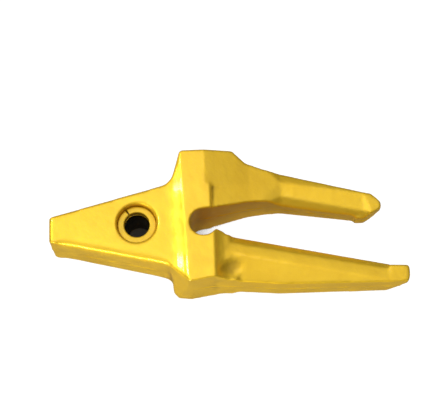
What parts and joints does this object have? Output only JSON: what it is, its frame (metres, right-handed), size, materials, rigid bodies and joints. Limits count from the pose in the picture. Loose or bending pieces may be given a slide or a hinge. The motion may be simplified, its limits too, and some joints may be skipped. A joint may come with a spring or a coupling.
{
  "type": "bucket tooth adapter",
  "caption": "Weld-on bucket tooth adapter: a wedge nose with a side pin bore and retainer pocket, and two straps that straddle the bucket lip.",
  "frame": {"origin": "on the pin axis, midway between the two cheeks of the nose", "axes": "+Z along the pin axis out of the retainer pocket, +X from the nose towards the strap ends, +Y on the side of the short upper strap"},
  "size_m": [0.375, 0.145, 0.085],
  "materials": {
    "yellow_paint": "glossy yellow paint sprayed over a rough steel casting",
    "ring_paint": "the same yellow paint, sprayed over the spring steel ring in its pocket"
  },
  "bodies": {
    "adapter": {"adapter_casting": "yellow_paint"},
    "retainer": {"lock_ring": "ring_paint"}
  },
  "joints": [
    {"name": "ring_slide", "type": "slide", "parent": "adapter", "child": "retainer", "axis": [0, 0, 1], "range_m": [0, 0.03]}
  ]
}
